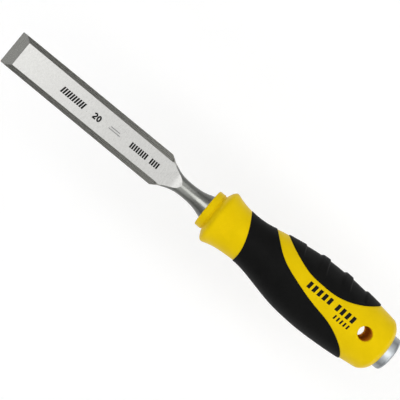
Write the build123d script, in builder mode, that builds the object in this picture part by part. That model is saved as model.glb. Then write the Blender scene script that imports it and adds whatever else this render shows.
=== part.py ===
from build123d import *
from math import pi, radians, tan
import os

# Bench chisel, 20 mm: forged blade, two-component plastic handle, steel strike cap.
# Millimetres.  +X runs along the tool to the cutting edge, +Z is the bevelled face,
# +Y is the palm side of the handle, -Y the finger side.
# Every station "u" is a distance from the cutting edge along the tool.

os.makedirs("parts", exist_ok=True)

# ---- driving dimensions -------------------------------------------------------
LENGTH = 255.2          # cutting edge to struck face
AXIS_Z = 17.083         # tool axis above the lowest point of the handle

BLADE_W = 20.0          # the size the chisel is sold by
BACK = -1.7             # flat back of the blade, seen from the tool axis
BEVEL_ANGLE = 25.0      # primary bevel
BEVEL_LEN = 7.26        # primary bevel along the blade
SHOULDER = 103.1        # where the parallel sides end
HORN = 106.5            # where the blade passes into the round neck
TOP_SHOULDER = 3.2      # flat top at the shoulder, seen from the tool axis
LAND_TIP = 1.35         # square side land at the cutting edge
LAND_SHOULDER = 2.5     # square side land at the shoulder
FLAT_TIP = 7.3          # half width of the flat top at the cutting edge
FLAT_SHOULDER = 6.75    # half width of the flat top at the shoulder
NECK_R = 4.44           # thinnest place of the neck

COLLAR_U = 134.4        # front face of the handle
COLLAR_R = 10.85
COLLAR_END = 138.5      # where the groove behind the collar starts
GUARD_FOOT = 139.3      # where the oval body with its guard starts behind the collar
REAR_U = 250.6          # rear face of the handle
GRIP_PROUD = 0.5        # soft grips above the hard plastic
GRIP_SKIN = 2.4         # soft grips below the hard plastic
VALLEY = 0.85           # depth of the finger valleys

HOLE_U = 236.0          # hanging hole
HOLE_Y = -1.3
HOLE_R = 3.75

CAP_R = 9.6
CAP_EDGE = 1.3          # rounding of the cap's struck edge
CAP_SEAT = 0.8          # how deep the cap sits in the handle
SPIGOT_R = 3.4
SPIGOT_LEN = 8.0
CAP_Y = -0.75           # the rear of the handle sits this far off the blade axis

TANG_END = 208.5

REST_GUARD = (143.0, -14.07)   # the handle lies on one plane: station and height under the guard
REST_BELLY = (200.5, -16.85)   # and under the belly, both seen from the tool axis


def x_at(u):
    """Station along the tool to the frame's X."""
    return LENGTH / 2 - u


def across(u, y=0.0, z=0.0):
    """Plane square to the tool at station u, its x along +Y and its y along +Z."""
    return Plane(origin=(x_at(u), y, AXIS_Z + z), x_dir=(0, 1, 0), z_dir=(1, 0, 0))


def plan(points):
    """Plan points (station, y) to frame points (X, Y)."""
    return [(x_at(u), y) for u, y in points]


PLAN_PLANE = Plane(origin=(0, 0, AXIS_Z), x_dir=(1, 0, 0), z_dir=(0, 0, 1))
SIDE_PLANE = Plane(origin=(0, 0, AXIS_Z), x_dir=(1, 0, 0), z_dir=(0, -1, 0))

# ---- oval body: station, half width to the finger side, to the palm side, half depth
SECTIONS = [
    (GUARD_FOOT, 11.35, 11.35, 10.90),
    (140.6, 14.00, 14.00, 13.00),
    (141.9, 15.42, 15.42, 14.30),
    (142.9, 15.66, 15.66, 14.55),
    (144.1, 15.38, 15.38, 14.35),
    (146.4, 14.64, 14.64, 13.75),
    (150.4, 13.70, 13.70, 13.00),
    (154.8, 13.20, 13.18, 12.60),
    (160.6, 13.03, 12.82, 12.50),
    (166.5, 13.62, 12.95, 12.90),
    (173.5, 15.25, 14.00, 13.95),
    (180.5, 16.50, 15.50, 15.05),
    (190.5, 18.25, 17.45, 16.25),
    (200.5, 19.32, 18.38, 16.85),
    (210.5, 19.62, 18.60, 16.90),
    (220.5, 19.18, 18.12, 16.60),
    (230.5, 18.36, 17.27, 15.95),
    (240.5, 17.20, 15.95, 15.05),
    (REAR_U, 15.75, 14.60, 13.95),
]


def proud(u):
    """The soft grips start nearly flush at the waist and rise along the handle."""
    ramp = min(1.0, max(0.0, (u - 158.0) / 16.0))
    return 0.15 + (GRIP_PROUD - 0.15) * ramp


def envelope(raise_by, valley=0.0):
    """Oval body of the handle: raise_by(u) grows every section all round."""
    with BuildPart() as body:
        for u, finger, palm, deep in SECTIONS:
            grow = raise_by(u)
            left = finger + grow - valley
            right = palm + grow
            with BuildSketch(across(u, (right - left) / 2)):
                Ellipse((left + right) / 2, deep + grow)
        loft()
    return body.part


hard_body = envelope(lambda u: 0.0)
soft_body = envelope(proud)
soft_valley = envelope(proud, VALLEY)
soft_floor = envelope(lambda u: -GRIP_SKIN)

# ---- what lies below the plane that the chisel rests on ---------------------------
rest_slope = (REST_BELLY[1] - REST_GUARD[1]) / (REST_BELLY[0] - REST_GUARD[0])


def rest_at(u):
    """Height of the resting plane, seen from the tool axis."""
    return REST_GUARD[1] + rest_slope * (u - REST_GUARD[0])


with BuildPart() as under_rest:
    with BuildSketch(SIDE_PLANE):
        with BuildLine():
            Polyline(
                (x_at(130.0), rest_at(130.0)),
                (x_at(LENGTH), rest_at(LENGTH)),
                (x_at(LENGTH), -30.0),
                (x_at(130.0), -30.0),
                close=True,
            )
        make_face()
    extrude(amount=30.0, both=True)

# ---- outlines of the two soft grips, seen from above ---------------------------
FRONT_EDGE = [(153.0, -14.6), (156.8, -8.1), (160.8, 1.2), (162.2, 9.7), (161.7, 15.0)]
PALM_EDGE = [
    (237.4, 18.6),
    (233.2, 13.9),
    (225.8, 9.1),
    (218.0, 6.0),
    (208.2, 4.0),
    (192.6, -0.25),
    (181.8, -4.6),
    (173.6, -10.8),
    (168.5, -15.5),
]
FINGER_EDGE = [
    (173.3, -17.8),
    (181.8, -12.65),
    (189.1, -9.45),
    (196.2, -7.25),
    (204.0, -6.55),
    (212.8, -6.75),
    (219.7, -8.4),
    (228.1, -12.4),
    (236.9, -18.8),
]
OUTSIDE = 26.0
TALL = 40.0

with BuildPart() as palm_zone:
    with BuildSketch(Plane.XY.offset(AXIS_Z)):
        with BuildLine():
            Spline(*plan(FRONT_EDGE))
            Polyline(
                *plan([FRONT_EDGE[-1], (FRONT_EDGE[-1][0], OUTSIDE),
                       (PALM_EDGE[0][0], OUTSIDE), PALM_EDGE[0]])
            )
            Spline(*plan(PALM_EDGE))
            Polyline(
                *plan([PALM_EDGE[-1], (PALM_EDGE[-1][0], -OUTSIDE),
                       (FRONT_EDGE[0][0], -OUTSIDE), FRONT_EDGE[0]])
            )
        make_face()
    extrude(amount=TALL / 2, both=True)

with BuildPart() as finger_zone:
    with BuildSketch(Plane.XY.offset(AXIS_Z)):
        with BuildLine():
            Spline(*plan(FINGER_EDGE))
            Polyline(
                *plan([FINGER_EDGE[-1], (FINGER_EDGE[-1][0], -OUTSIDE),
                       (FINGER_EDGE[0][0], -OUTSIDE), FINGER_EDGE[0]])
            )
        make_face()
    extrude(amount=TALL / 2, both=True)

# finger valleys: front and rear station at the finger side, both slanting back
VALLEYS = [(186.7, 196.1), (201.1, 210.5), (215.9, 225.3)]
with BuildPart() as valley_zone:
    with BuildSketch(Plane.XY.offset(AXIS_Z)):
        for front, rear in VALLEYS:
            with BuildLine():
                Polyline(
                    *plan([(front, -OUTSIDE), (front, -16.5), (front + 1.6, -4.0),
                           (rear + 1.6, -4.0), (rear, -16.5), (rear, -OUTSIDE)]),
                    close=True,
                )
            make_face()
    extrude(amount=TALL / 2, both=True)
    add(soft_valley, mode=Mode.SUBTRACT)

# ---- blade: one forging with bevelled blade, neck, bolster and hidden tang -----
slope = (TOP_SHOULDER - (BACK + BEVEL_LEN * tan(radians(BEVEL_ANGLE)))) / (HORN - BEVEL_LEN)


def top_at(u):
    """Height of the flat top above the tool axis."""
    return TOP_SHOULDER - slope * (HORN - u)


HORN_R = 8.0
NECK = [
    (HORN, HORN_R),
    (108.9, 6.85),
    (111.5, 5.80),
    (115.0, 4.87),
    (121.4, NECK_R),
    (127.1, 4.85),
    (131.1, 5.80),
    (COLLAR_U, 7.00),
]
RUN_OUT = [(111.4, 0.0), (114.8, 0.42), (117.8, 1.49)]      # the flat top's hollow end
BACK_END = [(119.0, BACK), (128.4, -3.6), (132.5, -7.4)]    # the flat back's round end

with BuildPart() as bevelled:
    # bevelled blade between two six-sided sections
    for u, land, flat in [(HORN, LAND_SHOULDER, FLAT_SHOULDER), (0.0, LAND_TIP, FLAT_TIP)]:
        with BuildSketch(across(u)):
            with BuildLine():
                Polyline(
                    (-BLADE_W / 2, BACK),
                    (BLADE_W / 2, BACK),
                    (BLADE_W / 2, BACK + land),
                    (flat, top_at(u)),
                    (-flat, top_at(u)),
                    (-BLADE_W / 2, BACK + land),
                    close=True,
                )
            make_face()
    loft(ruled=True)
    # plan outline: parallel sides, then the shoulders close in on the neck
    with BuildSketch(Plane.XY.offset(AXIS_Z)):
        with BuildLine():
            Polyline(
                *plan([(-1.0, -BLADE_W / 2), (-1.0, BLADE_W / 2), (SHOULDER, BLADE_W / 2),
                       (HORN, HORN_R), (HORN, -HORN_R),
                       (SHOULDER, -BLADE_W / 2)]),
                close=True,
            )
        make_face()
    extrude(amount=TALL / 2, both=True, mode=Mode.INTERSECT)
    # primary bevel
    rise = 10.0
    with BuildSketch(SIDE_PLANE):
        with BuildLine():
            Polyline(
                (x_at(0.0), BACK),
                (x_at(0.0) + 3.0, BACK),
                (x_at(0.0) + 3.0, BACK + rise),
                (x_at(rise / tan(radians(BEVEL_ANGLE))), BACK + rise),
                close=True,
            )
        make_face()
    extrude(amount=BLADE_W, both=True, mode=Mode.SUBTRACT)

with BuildPart() as neck:
    # round horn from the shoulders through the neck to the bolster
    with BuildSketch(SIDE_PLANE):
        with BuildLine():
            Spline(*[(x_at(u), r) for u, r in NECK])
            Polyline(
                (x_at(COLLAR_U), NECK[-1][1]),
                (x_at(COLLAR_U), 0),
                (x_at(HORN), 0),
                (x_at(HORN), HORN_R),
            )
        make_face()
    revolve(axis=Axis((0, 0, AXIS_Z), (1, 0, 0)))
    # flat top runs out in a hollow, flat back runs on below the neck
    with BuildSketch(SIDE_PLANE):
        with BuildLine():
            hollow = [(x_at(u), top_at(u) + rise) for u, rise in RUN_OUT]
            back_end = [(x_at(u), z) for u, z in reversed(BACK_END)]
            Line((x_at(HORN), top_at(HORN)), hollow[0])
            ThreePointArc(*hollow)
            Polyline(
                hollow[-1],
                (hollow[-1][0], 12.0),
                (x_at(140.0), 12.0),
                (x_at(140.0), -12.0),
                back_end[0],
            )
            ThreePointArc(*back_end)
            Polyline(back_end[-1], (x_at(HORN), BACK), (x_at(HORN), top_at(HORN)))
        make_face()
    extrude(amount=20.0, both=True, mode=Mode.INTERSECT)

TANG = [(COLLAR_U + 5.5, 9.0, 7.0), (151.0, 8.0, 6.0), (TANG_END, 5.0, 4.0)]
with BuildPart() as tang:
    # bolster disc held in the collar, then the tapered tang
    with BuildSketch(across(COLLAR_U + 5.5)):
        Circle(NECK[-1][1])
    extrude(amount=5.5)
    for u, wide, deep in TANG:
        with BuildSketch(across(u)):
            RectangleRounded(wide, deep, 0.9)
    loft(ruled=True)
    # cross holes that the plastic flows through
    for u in (165.0, 185.0):
        with BuildSketch(Plane.XY.offset(AXIS_Z)):
            with Locations((x_at(u), 0)):
                Circle(1.3)
        extrude(amount=8.0, both=True, mode=Mode.SUBTRACT)

with BuildPart() as blade:
    add(bevelled.part)
    add(neck.part)
    add(tang.part)

# ---- strike cap: turned steel disc with a barbed spigot -------------------------
cap_front = REAR_U - CAP_SEAT
with BuildPart() as strike_cap:
    with BuildSketch(across(LENGTH, CAP_Y)):
        Circle(CAP_R)
    extrude(amount=LENGTH - cap_front)
    fillet(strike_cap.faces().sort_by(Axis.X)[0].edges(), radius=CAP_EDGE)
    with BuildSketch(across(cap_front, CAP_Y)):
        Circle(SPIGOT_R)
    extrude(amount=SPIGOT_LEN)
    for k in range(3):
        ring = cap_front - 1.6 - 2.2 * k
        with BuildSketch(across(ring, CAP_Y)):
            Circle(SPIGOT_R + 1.0)
            Circle(SPIGOT_R - 0.5, mode=Mode.SUBTRACT)
        extrude(amount=1.0, mode=Mode.SUBTRACT)

# ---- handle core: yellow hard plastic ------------------------------------------
REAR_SHOULDER = [(REAR_U, 10.3), (250.2, 11.6), (249.4, 12.9), (248.0, 14.35), (246.2, 15.55),
                 (243.0, 17.1), (240.0, 18.3), (238.0, 19.0)]
with BuildPart() as drilled_body:
    # hanging hole through the oval part, with rounded rims
    add(hard_body)
    add(under_rest.part, mode=Mode.SUBTRACT)
    with BuildSketch(Plane.XY.offset(-1.0)):
        with Locations((x_at(HOLE_U), HOLE_Y)):
            Circle(HOLE_R)
    extrude(amount=2 * AXIS_Z + 2.0, mode=Mode.SUBTRACT)
    near = drilled_body.edges().filter_by(lambda e: abs(e.center().X - x_at(HOLE_U)) < 5.0)
    rims = near.filter_by(lambda e: e.length < 2.5 * pi * HOLE_R).filter_by(
        GeomType.LINE, reverse=True
    )
    fillet(rims, radius=0.6)

with BuildPart() as handle_core:
    # turned collar with a groove behind it
    with BuildSketch(SIDE_PLANE):
        with BuildLine():
            Polyline(
                (x_at(GUARD_FOOT), COLLAR_R - 0.3),
                (x_at(GUARD_FOOT), 0),
                (x_at(COLLAR_U), 0),
                (x_at(COLLAR_U), COLLAR_R - 0.8),
            )
            ThreePointArc(
                (x_at(COLLAR_U), COLLAR_R - 0.8),
                (x_at(COLLAR_U + 0.24), COLLAR_R - 0.24),
                (x_at(COLLAR_U + 0.8), COLLAR_R),
            )
            Polyline(
                (x_at(COLLAR_U + 0.8), COLLAR_R),
                (x_at(COLLAR_END - 0.2), COLLAR_R + 0.05),
                (x_at(COLLAR_END), COLLAR_R - 0.3),
                (x_at(GUARD_FOOT), COLLAR_R - 0.3),
            )
        make_face()
    revolve(axis=Axis((0, 0, AXIS_Z), (1, 0, 0)))
    add(drilled_body.part)
    # rounded rear shoulder down to the cap
    with BuildSketch(Plane(origin=(0, CAP_Y, AXIS_Z), x_dir=(1, 0, 0), z_dir=(0, -1, 0))):
        with BuildLine():
            Spline(*[(x_at(u), r) for u, r in REAR_SHOULDER])
            Polyline(
                (x_at(REAR_SHOULDER[-1][0]), REAR_SHOULDER[-1][1]),
                (x_at(225.0), 24.0),
                (x_at(130.0), 24.0),
                (x_at(130.0), 0),
                (x_at(REAR_U), 0),
                (x_at(REAR_U), REAR_SHOULDER[0][1]),
            )
        make_face()
    revolve(axis=Axis((0, CAP_Y, AXIS_Z), (1, 0, 0)), mode=Mode.INTERSECT)
    # recesses for the soft grips
    for zone in (palm_zone, finger_zone):
        add(zone.part - soft_floor, mode=Mode.SUBTRACT)
    # seats of the cap and of the steel
    add(strike_cap.part, mode=Mode.SUBTRACT)
    add(blade.part, mode=Mode.SUBTRACT)

# ---- soft grips -------------------------------------------------------------------
with BuildPart() as palm_grip:
    add(soft_body)
    add(palm_zone.part, mode=Mode.INTERSECT)
    add(soft_floor, mode=Mode.SUBTRACT)
    add(under_rest.part, mode=Mode.SUBTRACT)

with BuildPart() as finger_grip:
    add(soft_body)
    add(finger_zone.part, mode=Mode.INTERSECT)
    add(soft_floor, mode=Mode.SUBTRACT)
    add(under_rest.part, mode=Mode.SUBTRACT)
    add(valley_zone.part, mode=Mode.SUBTRACT)

blade.part.label = "blade"
handle_core.part.label = "handle_core"
palm_grip.part.label = "palm_grip"
finger_grip.part.label = "finger_grip"
strike_cap.part.label = "strike_cap"

export_step(blade.part, "parts/blade.step")
export_step(handle_core.part, "parts/handle_core.step")
export_step(palm_grip.part, "parts/palm_grip.step")
export_step(finger_grip.part, "parts/finger_grip.step")
export_step(strike_cap.part, "parts/strike_cap.step")
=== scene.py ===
from math import cos, pi, radians, sin, sqrt, tan

import bpy
import numpy as np
from mathutils import Matrix, Vector


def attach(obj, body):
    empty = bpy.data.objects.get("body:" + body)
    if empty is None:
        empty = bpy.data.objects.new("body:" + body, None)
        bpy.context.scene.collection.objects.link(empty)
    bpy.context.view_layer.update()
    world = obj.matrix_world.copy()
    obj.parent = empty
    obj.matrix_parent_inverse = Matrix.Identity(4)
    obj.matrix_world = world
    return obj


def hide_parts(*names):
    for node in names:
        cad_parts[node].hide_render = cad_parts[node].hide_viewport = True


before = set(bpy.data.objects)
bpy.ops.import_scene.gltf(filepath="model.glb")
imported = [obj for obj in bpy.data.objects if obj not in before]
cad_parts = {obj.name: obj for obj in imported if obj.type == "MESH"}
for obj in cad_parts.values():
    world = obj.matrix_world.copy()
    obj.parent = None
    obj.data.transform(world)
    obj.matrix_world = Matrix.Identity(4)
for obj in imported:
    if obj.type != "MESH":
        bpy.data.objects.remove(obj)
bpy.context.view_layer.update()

# Bench chisel, 20 mm.  The tool's lengths are in millimetres and are scaled once, in new_mesh;
# the floor and the lights are in metres.  Stations "u" are distances from the cutting edge.
MM = 0.001
LENGTH = 255.2
AXIS_Z = 17.083
BLADE_W = 20.0
BACK = -1.7
BEVEL = radians(25.0)
BEVEL_LEN = 7.26
SHOULDER = 103.1
HORN, HORN_HALF = 106.5, 8.0
TOP_SHOULDER = 3.2
LAND_TIP, LAND_SHOULDER = 1.35, 2.5
FLAT_TIP, FLAT_SHOULDER = 7.3, 6.75
COLLAR_U = 134.4
COLLAR_R = 10.85
COLLAR_END = 138.5
GUARD_FOOT = 139.3
REAR_U = 250.6
PROUD, PROUD_FRONT = 0.49, 0.15     # grips above the hard plastic, and at the palm grip's front
PROUD_RISE = (158.0, 174.0)         # stations between which the palm grip comes up
HOLE_U, HOLE_Y, HOLE_R = 236.0, -1.3, 3.75
CAP_R, CAP_Y, CAP_EDGE = 9.6, -0.75, 1.7

SECTIONS = [
    (GUARD_FOOT, 11.35, 11.35, 10.90),
    (140.6, 14.00, 14.00, 13.00),
    (141.9, 15.42, 15.42, 14.30),
    (142.9, 15.66, 15.66, 14.55),
    (144.1, 15.38, 15.38, 14.35),
    (146.4, 14.64, 14.64, 13.75),
    (150.4, 13.70, 13.70, 13.00),
    (154.8, 13.20, 13.18, 12.60),
    (160.6, 13.03, 12.82, 12.50),
    (166.5, 13.62, 12.95, 12.90),
    (173.5, 15.25, 14.00, 13.95),
    (180.5, 16.50, 15.50, 15.05),
    (190.5, 18.25, 17.45, 16.25),
    (200.5, 19.32, 18.38, 16.85),
    (210.5, 19.62, 18.60, 16.90),
    (220.5, 19.18, 18.12, 16.60),
    (230.5, 18.36, 17.27, 15.95),
    (240.5, 17.20, 15.95, 15.05),
    (REAR_U, 15.75, 14.60, 13.95),
]
FRONT_EDGE = [(153.0, -14.6), (156.8, -8.1), (160.8, 1.2), (162.2, 9.7), (161.7, 15.0)]
PALM_EDGE = [(168.5, -15.5), (173.6, -10.8), (181.8, -4.6), (192.6, -0.25), (208.2, 4.0),
             (218.0, 6.0), (225.8, 9.1), (233.2, 13.9), (237.4, 18.6)]
FINGER_EDGE = [(173.3, -17.8), (181.8, -12.65), (189.1, -9.45), (196.2, -7.25), (204.0, -6.55),
               (212.8, -6.75), (219.7, -8.4), (228.1, -12.4), (236.9, -18.8)]
REAR_SHOULDER = [(238.0, 19.0), (240.0, 18.3), (243.0, 17.1), (246.2, 15.55), (247.9, 14.3),
                 (249.2, 12.85), (250.1, 11.25), (REAR_U, 9.95)]
REST_GUARD, REST_BELLY = (143.0, -14.07), (200.5, -16.85)


# ---------------------------------------------------------------- small maths helpers
def smooth(x, lo, hi):
    """0 below lo, 1 above hi, smooth between."""
    t = np.clip((np.asarray(x, float) - lo) / (hi - lo), 0.0, 1.0)
    return t * t * (3 - 2 * t)


def spline(xs, ys, x):
    """Natural cubic spline through the points (xs, ys), read at x."""
    xs, ys, x = np.asarray(xs, float), np.asarray(ys, float), np.asarray(x, float)
    n = len(xs)
    h = np.diff(xs)
    a = np.eye(n)
    rhs = np.zeros(n)
    for i in range(1, n - 1):
        a[i, i - 1], a[i, i], a[i, i + 1] = h[i - 1], 2 * (h[i - 1] + h[i]), h[i]
        rhs[i] = 6 * ((ys[i + 1] - ys[i]) / h[i] - (ys[i] - ys[i - 1]) / h[i - 1])
    m = np.linalg.solve(a, rhs)
    k = np.clip(np.searchsorted(xs, x) - 1, 0, n - 2)
    d, hk = x - xs[k], h[k]
    b = (ys[k + 1] - ys[k]) / hk - hk * (2 * m[k] + m[k + 1]) / 6
    return ys[k] + d * (b + d * (m[k] / 2 + d * (m[k + 1] - m[k]) / (6 * hk)))


def curve(points, count):
    """Points evenly spread along a smooth curve through the given plan points."""
    p = np.array(points, float)
    t = np.concatenate([[0], np.cumsum(np.linalg.norm(np.diff(p, axis=0), axis=1))])
    s = np.linspace(0, t[-1], count)
    return np.stack([spline(t, p[:, 0], s), spline(t, p[:, 1], s)], axis=1)


def distance(u, y, line):
    """Plan distance from points (u, y) to a curve given as points."""
    best = np.full(u.shape, 1e9)
    for (u0, y0), (u1, y1) in zip(line[:-1], line[1:]):
        du, dy = u1 - u0, y1 - y0
        t = np.clip(((u - u0) * du + (y - y0) * dy) / (du * du + dy * dy), 0, 1)
        best = np.minimum(best, np.hypot(u - u0 - t * du, y - y0 - t * dy))
    return best


def soft_min(a, b, k):
    """The lower of a and b, rounded over where they are within k."""
    h = np.clip(0.5 + 0.5 * (b - a) / k, 0, 1)
    return b * (1 - h) + a * h - k * h * (1 - h)


def above_rest(points, margin=0.0):
    """Points (station, y, z) kept above the plane that the chisel lies on, rounded over."""
    slope = (REST_BELLY[1] - REST_GUARD[1]) / (REST_BELLY[0] - REST_GUARD[0])
    plane = REST_GUARD[1] + slope * (points[..., 0] - REST_GUARD[0]) + margin
    out = points.copy()
    out[..., 2] = -soft_min(-points[..., 2], -plane, 0.12)
    return out


# ---------------------------------------------------------------- mesh helpers
def new_mesh(name, verts, faces, mats=(), face_mat=None, body="root"):
    """A piece from points in (station, y, height above the axis), in millimetres."""
    v = np.asarray(verts, float)
    xyz = np.stack([LENGTH / 2 - v[:, 0], v[:, 1], v[:, 2] + AXIS_Z], axis=1) * MM
    mesh = bpy.data.meshes.new(name)
    mesh.from_pydata(xyz.tolist(), [], [tuple(int(i) for i in f) for f in faces])
    mesh.validate()
    mesh.polygons.foreach_set("use_smooth", [True] * len(mesh.polygons))
    for m in mats:
        mesh.materials.append(m)
    if face_mat is not None:
        mesh.polygons.foreach_set("material_index", [int(i) for i in face_mat])
    obj = bpy.data.objects.new(name, mesh)
    bpy.context.scene.collection.objects.link(obj)
    if body:
        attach(obj, body)
    return obj


def sheet_faces(rows, cols, wrap, start=0, flip=False):
    """Quads of a rows x cols grid of points; wrap joins the last column to the first."""
    faces = []
    last = cols if wrap else cols - 1
    for i in range(rows - 1):
        for j in range(last):
            k = (j + 1) % cols
            a, b = start + i * cols + j, start + i * cols + k
            c, d = start + (i + 1) * cols + k, start + (i + 1) * cols + j
            faces.append((a, d, c, b) if flip else (a, b, c, d))
    return faces


# ---------------------------------------------------------------- oval handle body
SEC_U = [s[0] for s in SECTIONS]


def oval(u):
    """Half width to the finger side, to the palm side, and half depth at station u."""
    return tuple(spline(SEC_U, [s[i] for s in SECTIONS], u) for i in (1, 2, 3))


def oval_point(u, ang, lift):
    """Point on the oval body; ang 0 is the palm side, 90 degrees the bevelled side."""
    finger, palm, deep = oval(u)
    half = (finger + palm) / 2 + lift
    y = (palm - finger) / 2 + half * np.cos(ang)
    return np.stack([u, y, (deep + lift) * np.sin(ang)], axis=-1)


front_line = curve(FRONT_EDGE, 60)
palm_line = curve(PALM_EDGE, 160)
finger_line = curve(FINGER_EDGE, 120)


def inside_palm(u, y):
    """Signed plan distance into the palm grip's outline."""
    behind = np.sign(u - np.interp(y, front_line[:, 1], front_line[:, 0]))
    beyond = np.sign(np.interp(y, palm_line[:, 1], palm_line[:, 0]) - u)
    return np.minimum(behind * distance(u, y, front_line), beyond * distance(u, y, palm_line))


def inside_finger(u, y):
    """Signed plan distance into the finger grip's outline."""
    edge = np.interp(u, finger_line[:, 0], finger_line[:, 1])
    out = (u < finger_line[0, 0]) | (u > finger_line[-1, 0])
    side = np.where(out, -1.0, np.sign(edge - y))
    return side * distance(u, y, finger_line)


def proud(u):
    """How far the palm grip stands above the hard plastic at station u."""
    start, end = PROUD_RISE
    return PROUD_FRONT + (PROUD - PROUD_FRONT) * np.clip((u - start) / (end - start), 0, 1)


def rolled(depth, top, radius):
    """Height of a grip's rounded edge, depth inside its outline; it starts a radius below top."""
    d = np.clip(depth, 0, radius)
    return top - radius + np.sqrt(np.maximum(radius ** 2 - (radius - d) ** 2, 0))


# ---------------------------------------------------------------- node materials
def material(name, **inputs):
    """A new material with its shader's constant sockets set by keyword."""
    mat = bpy.data.materials.new(name)
    mat.use_nodes = True
    bsdf = mat.node_tree.nodes["Principled BSDF"]
    for key, value in inputs.items():
        bsdf.inputs[key.replace("_", " ")].default_value = value
    return mat


def add_node(mat, kind, **sockets):
    """A node with its sockets set or linked: a value that is a socket gets linked."""
    node = mat.node_tree.nodes.new(kind)
    for key, value in sockets.items():
        target = node.inputs[int(key[1:])] if key[1:].isdigit() else node.inputs[key.replace("_", " ")]
        if isinstance(value, bpy.types.NodeSocket):
            mat.node_tree.links.new(value, target)
        else:
            target.default_value = value
    return node


def link(mat, out, socket):
    mat.node_tree.links.new(out, mat.node_tree.nodes["Principled BSDF"].inputs[socket])


def set_stops(node, stops):
    """Give a colour ramp its stops, (position, colour) each."""
    while len(node.color_ramp.elements) < len(stops):
        node.color_ramp.elements.new(0.5)
    for element, (pos, colour) in zip(node.color_ramp.elements, stops):
        element.position = pos
        element.color = (*colour, 1.0)


def ramp(mat, factor, stops):
    node = add_node(mat, "ShaderNodeValToRGB", Fac=factor)
    set_stops(node, stops)
    return node.outputs["Color"]


def grey(v):
    return (v, v, v)


def noise(mat, vector, scale, detail=3.0, rough=0.55):
    return add_node(mat, "ShaderNodeTexNoise", Vector=vector, Scale=scale, Detail=detail,
                    Roughness=rough).outputs["Fac"]


def position(mat, stretch=(1, 1, 1)):
    """Object coordinates, stretched."""
    coord = add_node(mat, "ShaderNodeTexCoord").outputs["Object"]
    node = add_node(mat, "ShaderNodeMapping", Vector=coord)
    node.inputs["Scale"].default_value = stretch
    return node.outputs["Vector"]


def bump(mat, height, strength, depth, under=None):
    node = add_node(mat, "ShaderNodeBump", Height=height, Strength=strength, Distance=depth)
    if under is not None:
        mat.node_tree.links.new(under, node.inputs["Normal"])
    return node.outputs["Normal"]


def mix(mat, factor, a, b, mode="MIX"):
    node = mat.node_tree.nodes.new("ShaderNodeMix")
    node.data_type = "RGBA"
    node.blend_type = mode
    for idx, value in ((0, factor), (6, a), (7, b)):
        if isinstance(value, bpy.types.NodeSocket):
            mat.node_tree.links.new(value, node.inputs[idx])
        elif idx == 0:
            node.inputs[0].default_value = value
        else:
            node.inputs[idx].default_value = (*value, 1.0)
    return node.outputs[2]


def steel(name, dark, light, rough, stretch, depth=0.00002, clouds=90.0):
    """Ground steel: fine streaks one way, faint cloudy tone, uneven roughness."""
    mat = material(name, Metallic=1.0)
    lines = noise(mat, position(mat, stretch), 1.0, 4.0, 0.6)
    cloud = noise(mat, position(mat), clouds, 3.0, 0.5)
    tone = mix(mat, 0.35, ramp(mat, lines, [(0.30, dark), (0.70, light)]),
               ramp(mat, cloud, [(0.30, dark), (0.70, light)]))
    link(mat, tone, "Base Color")
    link(mat, ramp(mat, lines, [(0.25, grey(rough * 0.85)), (0.75, grey(rough * 1.2))]), "Roughness")
    link(mat, bump(mat, lines, 0.35, depth), "Normal")
    return mat


flat_steel = steel("ground_flat", (0.330, 0.328, 0.318), (0.465, 0.463, 0.449), 0.30,
                   (6500, 420, 420), 0.00002, 1300.0)
side_steel = steel("ground_side", (0.322, 0.319, 0.292), (0.348, 0.345, 0.316), 0.27,
                   (200, 5200, 5200), 0.000003)
edge_steel = steel("ground_edge", (0.34, 0.34, 0.318), (0.42, 0.42, 0.395), 0.22, (7000, 240, 240))
neck_steel = steel("forged_neck", (0.32, 0.326, 0.302), (0.44, 0.446, 0.418), 0.30,
                   (900, 900, 900), 0.00004)
cap_steel = steel("turned_cap", (0.565, 0.605, 0.630), (0.665, 0.705, 0.730), 0.36,
                  (7000, 200, 200), 0.000003)


def paint_flank_shade(mat, stops):
    """Painted shade on round steel: its colour made darker on its flanks than along its top and bottom:
    stops are (upright, grey).
    """
    normal = mat.node_tree.nodes.new("ShaderNodeNewGeometry").outputs["Normal"]
    parts = add_node(mat, "ShaderNodeSeparateXYZ", Vector=normal)
    upright = add_node(mat, "ShaderNodeMath", _0=parts.outputs["Z"])
    upright.operation = "ABSOLUTE"
    shade = ramp(mat, upright.outputs[0], [(pos, grey(value)) for pos, value in stops])
    socket = mat.node_tree.nodes["Principled BSDF"].inputs["Base Color"]
    link(mat, mix(mat, 1.0, socket.links[0].from_socket, shade, "MULTIPLY"), "Base Color")


# painted shade on the neck's flanks, leaving its top and bottom lit
paint_flank_shade(neck_steel, [(0.0, 0.30), (0.60, 0.40), (0.80, 0.66), (0.97, 1.0)])
# painted shade on the cap's flanks, leaving its top and bottom lit
paint_flank_shade(cap_steel, [(0.0, 0.50), (0.70, 0.52), (0.90, 0.66), (0.985, 1.0)])


def plastic_yellow():
    """Satin moulded plastic: a little cloudy, with a very fine spark-eroded texture."""
    mat = material("yellow_plastic", Roughness=0.38, IOR=1.25, Specular_IOR_Level=0.35,
                   Specular_Tint=(1.0, 0.84, 0.06, 1.0))
    cloud = noise(mat, position(mat), 140.0, 4.0, 0.6)
    tone = ramp(mat, cloud, [(0.30, (0.735, 0.510, 0.002)), (0.70, (0.795, 0.555, 0.003))])
    link(mat, tone, "Base Color")
    grain = noise(mat, position(mat), 3200.0, 2.0, 0.5)
    link(mat, ramp(mat, grain, [(0.3, grey(0.33)), (0.7, grey(0.46))]), "Roughness")
    link(mat, bump(mat, grain, 0.22, 0.00003), "Normal")
    return mat


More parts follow.
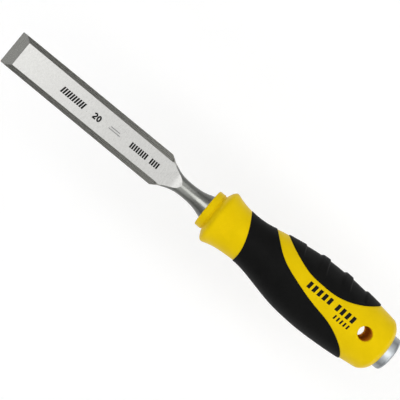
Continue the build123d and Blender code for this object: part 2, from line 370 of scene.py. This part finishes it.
def soft_black():
    """Matt soft plastic with a fine leathery grain."""
    mat = material("black_grip", Roughness=0.62, IOR=1.45, Specular_IOR_Level=0.10)
    cloud = noise(mat, position(mat), 120.0, 3.0, 0.6)
    tone = ramp(mat, cloud, [(0.3, (0.0030, 0.0031, 0.0030)), (0.7, (0.0045, 0.0046, 0.0044))])
    link(mat, tone, "Base Color")
    cells = add_node(mat, "ShaderNodeTexVoronoi", Vector=position(mat), Scale=2600.0)
    grain = cells.outputs["Distance"]
    fine = noise(mat, position(mat), 5200.0, 2.0, 0.5)
    link(mat, ramp(mat, fine, [(0.3, grey(0.52)), (0.7, grey(0.72))]), "Roughness")
    link(mat, bump(mat, fine, 0.25, 0.00003, bump(mat, grain, 0.35, 0.00005)), "Normal")
    return mat


def bore_painted_shade():
    """The same plastic inside the bore: matt, with painted shade, a deeper tone that stands in for the
    shade between its close walls.
    """
    mat = material("bore_painted_shade", Roughness=0.8, Specular_IOR_Level=0.0)
    rings = noise(mat, position(mat, (1, 1, 6)), 420.0, 3.0, 0.5)
    # painted shade: a darker, redder yellow than the handle's outside
    link(mat, ramp(mat, rings, [(0.3, (0.65, 0.280, 0.015)), (0.7, (0.73, 0.335, 0.025))]), "Base Color")
    return mat


yellow = plastic_yellow()
bore_shade_plastic = bore_painted_shade()
black = soft_black()


def printed(name, low, high):
    """Thin printed ink with a slightly patchy tone."""
    mat = material(name, Roughness=0.5, Specular_IOR_Level=0.10)
    patches = noise(mat, position(mat), 2500.0)
    link(mat, ramp(mat, patches, [(0.35, grey(low)), (0.65, grey(high))]), "Base Color")
    return mat


ink = printed("mark_ink", 0.002, 0.006)
faint_ink = printed("mark_ink_faint", 0.16, 0.24)

# ---------------------------------------------------------------- handle core
LATHE = [(COLLAR_U, 6.3), (COLLAR_U, 7.6), (COLLAR_U, 8.9), (COLLAR_U, COLLAR_R - 0.9)]
LATHE += [(COLLAR_U + 0.8 - 0.8 * cos(0.25 * k), COLLAR_R - 0.8 + 0.8 * sin(0.25 * k) - 0.01)
          for k in range(1, 7)]
LATHE += [(COLLAR_U + 1.4, COLLAR_R - 0.01), (COLLAR_U + 2.4, COLLAR_R)]
LATHE += [(COLLAR_END + du, COLLAR_R + dr) for du, dr in
          ((-0.6, 0.02), (-0.24, 0.02), (-0.06, -0.16), (0.04, -0.32), (0.4, -0.34), (0.66, -0.26))]
RIBS_FROM, RIBS_TO = 146.9, 152.6       # stations of the patch of fine raised ribs
RIB_HEIGHT, RIB_PITCH = 0.12, 0.95


def core_rings():
    """Station, half width each way and half depth of every ring, front to rear."""
    rings = [(u, r, r, r) for u, r in LATHE]
    stations = list(np.linspace(GUARD_FOOT, 146.0, 30)) + list(np.arange(146.14, 153.3, 0.14))
    stations += list(np.arange(153.6, REAR_U - 2.0, 0.38))
    stations += list(np.arange(REAR_U - 1.9, REAR_U - 0.05, 0.16))
    for u in stations + [REAR_U]:
        rings.append((float(u), *[float(v) for v in oval(u)]))
    return np.array(rings)


def build_core():
    rings, cols = core_rings(), 320
    ang = np.linspace(0, 2 * pi, cols, endpoint=False)
    u = np.repeat(rings[:, :1], cols, axis=1)
    finger, palm, deep = (np.repeat(rings[:, i:i + 1], cols, axis=1) for i in (1, 2, 3))
    mid = (palm - finger) / 2
    y = mid + (finger + palm) / 2 * np.cos(ang)
    z = deep * np.sin(ang)
    # below the grips the hard plastic drops out of sight; at their edges it turns down a little
    depth = np.where(u > 150, np.maximum(inside_palm(u, y), inside_finger(u, y)), -9.0)
    lift = -0.10 * smooth(depth, -0.45, -0.02) - 1.1 * smooth(depth, 0.30, 0.9)
    # a patch of fine raised ribs on top, between the guard and the palm grip
    patch = smooth(u, RIBS_FROM, RIBS_FROM + 0.4) * (1 - smooth(u, RIBS_TO - 0.4, RIBS_TO))
    patch = patch * (1 - smooth(np.abs(y), 6.6, 7.4))
    wave = 0.5 - 0.5 * np.cos(2 * pi * (u - RIBS_FROM) / RIB_PITCH)
    lift = lift + np.where(z > 0, RIB_HEIGHT * patch * wave, 0.0)
    y, z = y + lift * np.cos(ang), z + lift * np.sin(ang)
    # rounded rear shoulder, turned about the cap's axis
    reach = np.hypot(y - CAP_Y, z)
    cap_line = spline([p[0] for p in REAR_SHOULDER], [p[1] for p in REAR_SHOULDER], u)
    short = np.where(u > REAR_SHOULDER[0][0], soft_min(reach, cap_line, 0.5), reach)
    y, z = CAP_Y + (y - CAP_Y) * short / reach, z * short / reach
    verts = above_rest(np.stack([u, y, z], axis=-1).reshape(-1, 3), 0.10)
    faces = sheet_faces(len(rings), cols, True, flip=True)
    # rear face down to the cap's seat, then close both ends
    extra, n = [], len(rings)
    for u_back, r in ((REAR_U, CAP_R + 0.2), (REAR_U - 0.1, CAP_R + 0.04), (REAR_U - 0.8, CAP_R)):
        ring = [np.full(cols, u_back), CAP_Y + r * np.cos(ang), r * np.sin(ang)]
        extra.append(np.stack(ring, axis=-1))
    verts = np.concatenate([verts] + extra)
    for k in range(n - 1, n + 2):
        for j in range(cols):
            b = (j + 1) % cols
            faces.append((k * cols + j, (k + 1) * cols + j, (k + 1) * cols + b, k * cols + b))
    front, rear = len(verts), len(verts) + 1
    verts = np.concatenate([verts, [[COLLAR_U, 0, 0], [REAR_U - 0.8, CAP_Y, 0]]])
    last = (n + 2) * cols
    for j in range(cols):
        b = (j + 1) % cols
        faces.append((front, j, b))
        faces.append((rear, last + b, last + j))
    return new_mesh("core_shell", verts, faces, [yellow])


core = build_core()


def drill(target):
    """The hanging hole: a straight bore whose mouths flare to the handle's surface."""
    cols = 96
    ang = np.linspace(0, 2 * pi, cols, endpoint=False)
    flare = [(0.0, -0.90), (0.03, -0.60), (0.12, -0.34), (0.27, -0.14), (0.46, -0.02), (1.3, 0.60)]
    rings = []
    for side in (1, -1):
        for out, rise in (flare if side < 0 else flare[::-1]):
            r = HOLE_R + out
            hu, hy = HOLE_U + r * np.cos(ang), HOLE_Y + r * np.sin(ang)
            finger, palm, deep = oval(hu)
            half, mid = (finger + palm) / 2, (palm - finger) / 2
            top = deep * np.sqrt(1 - ((hy - mid) / half) ** 2)
            rings.append(np.stack([hu, hy, side * (top + rise)], axis=-1))
    verts = np.concatenate(rings)
    faces = sheet_faces(len(rings), cols, True)
    faces.append(list(range(cols)))
    faces.append(list(range(len(verts) - 1, len(verts) - cols - 1, -1)))
    cutter = new_mesh("cutter", verts, faces, [yellow], body=None)
    cut = target.modifiers.new("hole", "BOOLEAN")
    cut.operation, cut.solver, cut.object = "DIFFERENCE", "EXACT", cutter
    bpy.context.view_layer.update()
    graph = bpy.context.evaluated_depsgraph_get()
    done = bpy.data.meshes.new_from_object(target.evaluated_get(graph))
    target.modifiers.clear()
    target.data = done
    bpy.data.objects.remove(cutter)


def line_bore(target):
    """Give the wall of the bore its own material, the yellow with painted shade."""
    target.data.materials.append(bore_shade_plastic)
    for face in target.data.polygons:
        along = face.center.x / MM - (LENGTH / 2 - HOLE_U)
        aside = face.center.y / MM - HOLE_Y
        if sqrt(along * along + aside * aside) < HOLE_R + 0.02:
            face.material_index = 1


drill(core)
line_bore(core)
core.data.set_sharp_from_angle(angle=radians(40))
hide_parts("handle_core")

# ---------------------------------------------------------------- soft grips
INNER = -1.3        # how far the grips reach below the hard plastic, out of sight
ROLL = 0.5          # radius of their rounded edges


def closed_shell(name, outer, inner, wrap):
    """A closed piece from an outer and an inner grid of points, joined round its rim."""
    rows, cols = outer.shape[:2]
    verts = np.concatenate([outer.reshape(-1, 3), inner.reshape(-1, 3)])
    faces = sheet_faces(rows, cols, wrap) + sheet_faces(rows, cols, wrap, rows * cols, True)
    off = rows * cols
    last = cols if wrap else cols - 1
    for j in range(last):
        k = (j + 1) % cols
        top = (rows - 1) * cols
        faces.append((j, off + j, off + k, k))
        faces.append((top + j, top + k, off + top + k, off + top + j))
    if not wrap:
        for i in range(rows - 1):
            a, b = i * cols, (i + 1) * cols
            faces.append((a, b, off + b, off + a))
            a, b = a + cols - 1, b + cols - 1
            faces.append((a, off + a, off + b, b))
    return new_mesh(name, verts, faces, [black])


def crossing(line, ang):
    """Station where the ray at ang leaves through an outline that runs across the tool."""
    finger, palm, _ = oval(line[:, 0])
    mid, half = (palm - finger) / 2, (palm + finger) / 2
    c = (line[:, 1] - mid) / half
    keep = np.abs(c) < 1
    a = np.arccos(c[keep])
    order = np.argsort(a)
    return np.interp(ang, a[order], line[keep][order, 0])


def eased(count, crowd=0.75):
    """0..1 with the steps crowded towards both ends."""
    t = np.linspace(0, 1, count)
    return t * (1 - crowd) + crowd * (0.5 - 0.5 * np.cos(pi * t))


def build_palm_grip():
    cols, rows = 300, 240
    ang = np.linspace(-pi, pi, cols, endpoint=False)
    first = crossing(curve(FRONT_EDGE, 400), np.abs(ang))
    last = crossing(curve(PALM_EDGE, 800), np.abs(ang))
    t = eased(rows)[:, None]
    u = first + (last - first) * t
    a = np.repeat(ang[None, :], rows, axis=0)
    flat = oval_point(u, a, 0.0)
    depth = np.maximum(inside_palm(u, flat[..., 1]), 0.0)
    depth[0], depth[-1] = 0.0, 0.0
    lift = rolled(depth, proud(u), ROLL * np.clip(proud(u) / PROUD + 0.15, 0, 1))
    outer = above_rest(oval_point(u, a, lift))
    return closed_shell("palm_pad", outer, oval_point(u, a, INNER), True)


VALLEYS = [(186.5, 196.7, 0.84), (201.0, 211.5, 0.97), (215.9, 226.1, 0.82)]    # from, to, depth
VALLEY_LEAN = 2.4       # how far the valleys lean to the rear towards the middle of the handle


def valley_depth(u, y):
    """Depth of the finger valleys: nearly even, with a short step at the front and at the rear."""
    s = u - VALLEY_LEAN * smooth(y, -19.0, -7.0)
    depth = np.zeros_like(u)
    for front, rear, deepest in VALLEYS:
        drop = smooth(s, front - 0.35, front + 0.75)
        rise = 1 - smooth(s, rear - 1.1, rear + 0.3)
        along = np.clip((s - front) / (rear - front), 0, 1)
        depth = depth + deepest * drop * rise * (0.85 + 0.15 * along)
    return depth * (1 - smooth(y, -16.5, -8.5))


def build_finger_grip():
    line = curve(FINGER_EDGE, 1200)
    finger, palm, _ = oval(line[:, 0])
    mid, half = (palm - finger) / 2, (palm + finger) / 2
    c = np.clip((line[:, 1] - mid) / half, -1, 1)
    inside = np.nonzero(c > -0.9995)[0]
    line, c = line[inside[0]:inside[-1] + 1], c[inside[0]:inside[-1] + 1]
    rows, cols = 270, 170
    pick = np.interp(eased(rows, 0.45), np.linspace(0, 1, len(line)), np.arange(len(line)))
    u = np.interp(pick, np.arange(len(line)), line[:, 0])[:, None]
    edge = np.arccos(np.interp(pick, np.arange(len(line)), c))[:, None]
    a = edge + (2 * pi - 2 * edge) * eased(cols)[None, :]
    u = np.repeat(u, cols, axis=1)
    flat = oval_point(u, a, 0.0)
    depth = np.maximum(inside_finger(u, flat[..., 1]), 0.0)
    depth[:, 0], depth[:, -1] = 0.0, 0.0
    lift = rolled(depth, PROUD, ROLL) - valley_depth(u, flat[..., 1]) * smooth(depth, 0.2, 1.5)
    outer = above_rest(oval_point(u, a, lift))
    return closed_shell("finger_pad", outer, oval_point(u, a, INNER), False)


palm_pad = build_palm_grip()
finger_pad = build_finger_grip()
for pad, node in ((palm_pad, "palm_grip"), (finger_pad, "finger_grip")):
    pad.data.set_sharp_from_angle(angle=radians(60))
    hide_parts(node)

# ---------------------------------------------------------------- blade
NECK = [(HORN, HORN_HALF), (108.9, 6.85), (111.5, 5.80), (115.0, 4.87), (121.4, 4.44),
        (127.1, 4.85), (131.1, 5.80), (COLLAR_U, 7.00)]     # station and radius
RUN_OUT = [(111.4, 0.0), (114.8, 0.42), (117.8, 1.49)]      # the flat top's hollow end
BACK_END = [(119.0, BACK), (128.4, -3.6), (132.5, -7.4)]    # the flat back's round end
FORGED_SIDES, FORGED_TOP = 108.5, 117.0     # where ground steel gives way to the forged skin
TIP_TOP = BACK + BEVEL_LEN * tan(BEVEL)
RISE = (TOP_SHOULDER - TIP_TOP) / (HORN - BEVEL_LEN)


def arc_height(points, u):
    """Height at station u on the circle that starts level at the first point and runs through the
    second; the third point is not used.
    """
    (u0, z0), (u1, z1), _ = points
    du, dz = u1 - u0, z1 - z0
    radius = (du * du + dz * dz) / (2 * abs(dz))
    d = min(u - u0, radius)
    sag = radius - sqrt(radius * radius - d * d)
    return z0 + sag * (1 if dz > 0 else -1)


def section_at(u):
    """Corners of one half of the steel at station u, back, land and flat; then its half width,
    and how far its section has turned from straight-sided (0) to round (1)."""
    top = TIP_TOP + RISE * (u - BEVEL_LEN)
    if u < SHOULDER:
        wide = BLADE_W / 2
    elif u <= HORN:
        wide = BLADE_W / 2 - (BLADE_W / 2 - HORN_HALF) * (u - SHOULDER) / (HORN - SHOULDER)
    else:
        wide = float(spline([p[0] for p in NECK], [p[1] for p in NECK], u))
    # hollow run-out of the flat top, and the back's run down to the bolster
    if u > RUN_OUT[0][0]:
        top = top + arc_height(RUN_OUT, u)
    low = BACK if u < BACK_END[0][0] else arc_height(BACK_END, u)
    # straight-sided blade section
    f = min(u, HORN) / HORN
    land = BACK + LAND_TIP + (LAND_SHOULDER - LAND_TIP) * f
    flat = FLAT_TIP + (FLAT_SHOULDER - FLAT_TIP) * f
    pitch = (top - land) / (BLADE_W / 2 - flat)
    roof = min(top, BACK + u * tan(BEVEL)) if u < BEVEL_LEN + 2 else top
    flat_y = flat + (top - roof) / pitch
    land_z = land + (BLADE_W / 2 - wide) * pitch
    if roof < land:
        flat_y = BLADE_W / 2
    back_pt = (wide, low)
    land_pt = (wide, min(land_z, roof))
    flat_pt = (min(flat_y, wide - 0.02), roof)
    # round section of the horn and neck
    r = wide
    roof_n = min(roof, r * 0.9995)
    low_n = max(low, -r * 0.9995)
    round_flat = (sqrt(r * r - roof_n * roof_n), roof_n)
    round_back = (sqrt(r * r - low_n * low_n), low_n)
    mid_z = roof_n * 0.72
    round_land = (sqrt(r * r - mid_z * mid_z), mid_z)
    w = float(smooth(u, HORN - 1.6, HORN + 2.2))
    square, turned = (back_pt, land_pt, flat_pt), (round_back, round_land, round_flat)
    corners = [(p[0] * (1 - w) + q[0] * w, p[1] * (1 - w) + q[1] * w) for p, q in zip(square, turned)]
    return corners[0], corners[1], corners[2], r, w


def arc_or_line(p, q, count, r, w):
    """Points from p to q: straight on the blade, on the round on the neck."""
    out = []
    for k in range(count):
        t = k / count
        y, z = p[0] + (q[0] - p[0]) * t, p[1] + (q[1] - p[1]) * t
        pull = r / max(sqrt(y * y + z * z), 1e-6)
        out.append((y * (1 + (pull - 1) * w), z * (1 + (pull - 1) * w)))
    return out


def blade_stations():
    us = [0.0, 0.02, 0.08, 0.3, 0.8, 1.4]
    land_u = LAND_TIP / tan(BEVEL)
    us += [2.2, land_u - 0.15, land_u, land_u + 0.15, 3.7, 4.6, 5.6, 6.5, BEVEL_LEN - 0.12]
    us += [BEVEL_LEN, BEVEL_LEN + 0.12, 7.8, 8.6]
    us += list(np.arange(10.0, SHOULDER - 0.9, 2.0))
    us += [SHOULDER - 0.5, SHOULDER - 0.15, SHOULDER, SHOULDER + 0.2]
    us += list(np.arange(SHOULDER + 0.6, 119.5, 0.25))
    us += list(np.arange(119.7, COLLAR_U, 0.4)) + [COLLAR_U, COLLAR_U + 0.6]
    return us


SEGMENTS = (8, 9, 9, 10)     # bottom, side, bevel, top, over half the section


def half_section(u):
    back, land, flat, r, w = section_at(u)
    nb, ns, nv, nt = SEGMENTS
    pts = [(back[0] * k / nb, back[1]) for k in range(nb)]
    pts += arc_or_line(back, land, ns, r, w)
    pts += arc_or_line(land, flat, nv, r, w)
    pts += [(flat[0] * (1 - k / nt), flat[1]) for k in range(nt)]
    pts.append((0.0, flat[1]))
    return pts


def steel_index(u, k):
    """Material of the k-th strip, counted from the middle of the back, at station u."""
    back, top = SEGMENTS[0], sum(SEGMENTS[:3])
    if u > (FORGED_SIDES if k < top else FORGED_TOP):
        return 3
    if k < back:
        return 0
    if k < top:
        return 1
    return 2 if u < BEVEL_LEN else 0


def build_blade():
    us = blade_stations()
    loops = []
    for u in us:
        half = half_section(u)
        loops.append(half + [(-y, z) for y, z in half[-2:0:-1]])
    cols = len(loops[0])
    verts = [(u, y, z) for u, loop in zip(us, loops) for y, z in loop]
    faces = sheet_faces(len(us), cols, True)
    kind = []
    for u0, u1 in zip(us[:-1], us[1:]):
        kind += [steel_index((u0 + u1) / 2, min(j, cols - 1 - j)) for j in range(cols)]
    centre = len(verts)
    verts += [(0.0, 0.0, BACK), (COLLAR_U + 0.6, 0.0, 0.0)]
    last = (len(us) - 1) * cols
    for j in range(cols):
        b = (j + 1) % cols
        faces.append((centre, b, j))
        faces.append((centre + 1, last + j, last + b))
        kind += [2, 3]
    return new_mesh("blade_forging", verts, faces, [flat_steel, side_steel, edge_steel, neck_steel],
                    kind)


forging = build_blade()
forging.data.set_sharp_from_angle(angle=radians(24))
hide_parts("blade")

# ---------------------------------------------------------------- strike cap
CAP_FRONT = REAR_U - 0.7
CAP_PROFILE = [(CAP_FRONT, CAP_R - 0.15), (REAR_U - 0.4, CAP_R - 0.03), (REAR_U + 0.6, CAP_R),
               (LENGTH - 2.0, CAP_R), (LENGTH - 1.5, CAP_R)]
CAP_PROFILE += [(LENGTH - CAP_EDGE * (1 - sin(pi * k / 16)), CAP_R - CAP_EDGE * (1 - cos(pi * k / 16)))
                for k in range(9)]
CAP_PROFILE += [(LENGTH, r) for r in (7.6, 6.4, 4.5, 2.0, 0.4)]


def build_cap():
    cols = 128
    ang = np.linspace(0, 2 * pi, cols, endpoint=False)
    rings = [np.stack([np.full(cols, u), CAP_Y + r * np.cos(ang), r * np.sin(ang)], axis=-1)
             for u, r in CAP_PROFILE]
    verts = np.concatenate(rings + [np.array([[CAP_FRONT, CAP_Y, 0], [LENGTH, CAP_Y, 0]])])
    faces = sheet_faces(len(rings), cols, True, flip=True)
    n, last = len(verts), (len(rings) - 1) * cols
    for j in range(cols):
        b = (j + 1) % cols
        faces.append((n - 2, b, j))
        faces.append((n - 1, last + j, last + b))
    return new_mesh("cap_disc", verts, faces, [cap_steel])


cap = build_cap()
cap.data.set_sharp_from_angle(angle=radians(35))
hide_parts("strike_cap")

# ---------------------------------------------------------------- printed marks
def surface_height(u, y):
    """Height above the axis of the blade's flat top or of the oval handle."""
    if u < COLLAR_U:
        return TIP_TOP + RISE * (u - BEVEL_LEN)
    finger, palm, deep = (float(v) for v in oval(u))
    half, mid = (finger + palm) / 2, (palm - finger) / 2
    return deep * sqrt(1 - ((y - mid) / half) ** 2)


INK_TOP, INK_FOOT = 0.03, -0.05      # the ink's top and hidden foot, seen from the surface


def print_mark(name, outlines, mat):
    """Thin printed shapes: each outline is a polygon in (station, y), laid on the surface."""
    verts, faces = [], []
    for poly in outlines:
        n, start = len(poly), len(verts)
        for rise in (INK_TOP, INK_FOOT):
            verts += [(u, y, surface_height(u, y) + rise) for u, y in poly]
        faces.append([start + k for k in range(n)])
        faces.append([start + n + k for k in range(n)][::-1])
        for k in range(n):
            m = (k + 1) % n
            faces.append([start + k, start + n + k, start + n + m, start + m])
    obj = new_mesh(name, verts, faces, [mat])
    obj.data.polygons.foreach_set("use_smooth", [False] * len(obj.data.polygons))
    return obj


def bar(u0, u1, y0, y1, lean=0.0):
    """A straight bar from u0 to u1, from y0 to y1, its far side leaning along the tool."""
    return [(u0, y0), (u1, y0), (u1 + lean, y1), (u0 + lean, y1)]


def ribbon(path, width, closed=False):
    """Quads along a path of (station, y) points."""
    p = np.array(path, float)
    if closed:
        ahead = np.roll(p, -1, axis=0) - np.roll(p, 1, axis=0)
    else:
        ahead = np.gradient(p, axis=0)
    side = np.stack([-ahead[:, 1], ahead[:, 0]], axis=1)
    side *= width / 2 / np.linalg.norm(side, axis=1, keepdims=True)
    left, right = p + side, p - side
    n = len(p)
    pairs = [(i, (i + 1) % n) for i in range(n if closed else n - 1)]
    return [[left[i], right[i], right[k], left[k]] for i, k in pairs]


def digits(u, y):
    """The blade's width, 20, as plain strokes; it reads towards the handle, its top to -Y."""
    two = [(0.80 * cos(a), 2.36 + 0.74 * sin(a)) for a in np.radians(np.linspace(165, -35, 12))]
    two += [(0.25, 1.42), (-0.45, 0.78), (-0.80, 0.30)]
    foot = [(-1.08, 0.3), (1.08, 0.3)]
    zero = [(2.6 + 0.80 * cos(a), 1.63 + 1.38 * sin(a)) for a in np.arange(28) * pi / 14]
    quads = ribbon(two, 0.88) + ribbon(foot, 0.80) + ribbon(zero, 0.88, True)
    return [[(u + px, y - py) for px, py in quad] for quad in quads]


def strokes(first, pitch, places, y0, y1, wide, lean=0.0):
    """Pairs of thin strokes, one pair at each place along the row."""
    row = []
    for place in places:
        u0 = first + pitch * place
        row.append(bar(u0, u0 + wide, y0, y1, lean))
        row.append(bar(u0 + 1.45 * wide, u0 + 2.45 * wide, y0, y1, lean))
    return row


# width mark and plain stroke rows on the blade
print_mark("blade_width_mark", digits(58.9, 1.98), ink)
print_mark("blade_bars_front", strokes(35.9, 3.15, range(5), 2.1, -1.6, 1.05, 0.7), ink)
print_mark("blade_bars_rear", strokes(82.9, 2.85, (0, 1, 2, 3, 4.7, 5.7), 1.7, -1.6, 0.95), ink)
print_mark("blade_lines", [bar(68.3, 75.8, 0.85, 0.4), bar(69.0, 75.0, -0.45, -0.9)], faint_ink)


def handle_bars(name, first, pitch, wide, places, y0, y1, lean):
    """A row of leaning bars in short steps, so that they follow the handle's curve."""
    steps = np.linspace(0, 1, 7)
    quads = []
    for place in places:
        u0 = first + pitch * place
        for f, g in zip(steps[:-1], steps[1:]):
            ya, yb = y0 + (y1 - y0) * f, y0 + (y1 - y0) * g
            quads.append([(u0 + lean * f, ya), (u0 + wide + lean * f, ya),
                          (u0 + wide + lean * g, yb), (u0 + lean * g, yb)])
    print_mark(name, quads, ink)


# and on the handle's stripe
handle_bars("handle_bars_bold", 198.3, 3.2, 1.9, (0, 1, 2, 3, 4, 5.6, 6.6, 7.6, 8.6), -0.9, -4.6, 0.4)
handle_bars("handle_bars_thin", 218.3, 2.05, 0.95, range(5), 3.0, 0.6, 0.3)


# ---------------------------------------------------------------- camera, lights, floor
TILT = radians(3.0)                     # the tip lies a little lower in the view than the handle
RANGE, WIDTH = 470.0, 208.6             # from the camera to the tool's axis, and the view's width there
CENTRE_U, CENTRE_Y = 129.08, -0.52      # the view's centre on the tool
along = Vector((cos(TILT), 0, sin(TILT)))
out = Vector((-sin(TILT), 0, cos(TILT)))
TURN = radians(39.46)
right = -cos(TURN) * along - sin(TURN) * Vector((0, 1, 0))
up = sin(TURN) * along - cos(TURN) * Vector((0, 1, 0))
aim = Vector(((LENGTH / 2 - CENTRE_U), CENTRE_Y, AXIS_Z)) * MM
cam_data = bpy.data.cameras.new("camera")
cam_data.sensor_width = 36.0
cam_data.lens = 36.0 * RANGE / WIDTH
cam_data.clip_start, cam_data.clip_end = 0.01, 20
cam = bpy.data.objects.new("camera", cam_data)
spot = aim + out * RANGE * MM
turn = Matrix((right, up, out)).transposed().to_4x4()
cam.matrix_world = Matrix.Translation(spot) @ turn
bpy.context.scene.collection.objects.link(cam)
bpy.context.scene.camera = cam

FLOOR_Z, FLOOR_HALF = -0.12, 3          # low enough for the tool to throw no shadow in view
floor_mesh = bpy.data.meshes.new("floor")
corners = [(FLOOR_HALF * x, FLOOR_HALF * y, FLOOR_Z) for x, y in ((-1, -1), (1, -1), (1, 1), (-1, 1))]
floor_mesh.from_pydata(corners, [], [(0, 1, 2, 3)])
floor = bpy.data.objects.new("floor", floor_mesh)
paper = material("floor_white", Roughness=0.9, Base_Color=(0.93, 0.93, 0.93, 1.0),
                 Emission_Color=(1.0, 1.0, 1.0, 1.0), Emission_Strength=0.12)
floor_mesh.materials.append(paper)
bpy.context.scene.collection.objects.link(floor)


def softbox(name, place, look, size, power):
    """A rectangular studio light at place, facing look."""
    data = bpy.data.lights.new(name, "AREA")
    data.shape, data.size, data.size_y = "RECTANGLE", size[0], size[1]
    data.energy = power
    lamp = bpy.data.objects.new(name, data)
    lamp.location = place
    lamp.rotation_euler = (Vector(look) - Vector(place)).to_track_quat("-Z", "Y").to_euler()
    bpy.context.scene.collection.objects.link(lamp)


# two soft strips over the tool, the brighter one reaching well past the tip
softbox("strip_rear", (-0.06, 0.0, 1.0), (-0.06, 0.0, 0.0), (0.88, 0.66), 2.3)
softbox("strip_front", (0.89, 0.0, 1.0), (0.89, 0.0, 0.0), (1.02, 0.66), 4.5)
softbox("rear_soft", (-1.2, 0.1, 0.8), (-0.03, 0, 0), (1.7, 1.7), 10.5)
softbox("palm_soft", (-0.35, 1.2, 0.85), (-0.03, 0, 0), (1.3, 1.3), 2.6)
softbox("finger_soft", (-0.35, -1.2, 0.85), (-0.03, 0, 0), (1.3, 1.3), 3.2)
softbox("tip_soft", (1.25, 0.0, 0.58), (0.1, 0, 0), (0.9, 0.6), 0.5)

# a dome that is brightest overhead and falls off towards the horizon
world = bpy.data.worlds.new("studio")
bpy.context.scene.world = world
world.use_nodes = True
tree = world.node_tree
height = tree.nodes.new("ShaderNodeSeparateXYZ")
tree.links.new(tree.nodes.new("ShaderNodeTexCoord").outputs["Generated"], height.inputs[0])
dome = tree.nodes.new("ShaderNodeValToRGB")
tree.links.new(height.outputs["Z"], dome.inputs["Fac"])
DOME = [(0.0, 0.20), (0.35, 0.30), (0.62, 0.36), (0.84, 0.38), (1.0, 0.40)]
set_stops(dome, [(pos, grey(value)) for pos, value in DOME])
tree.links.new(dome.outputs["Color"], tree.nodes["Background"].inputs["Color"])
bpy.context.scene.view_settings.view_transform = "Standard"
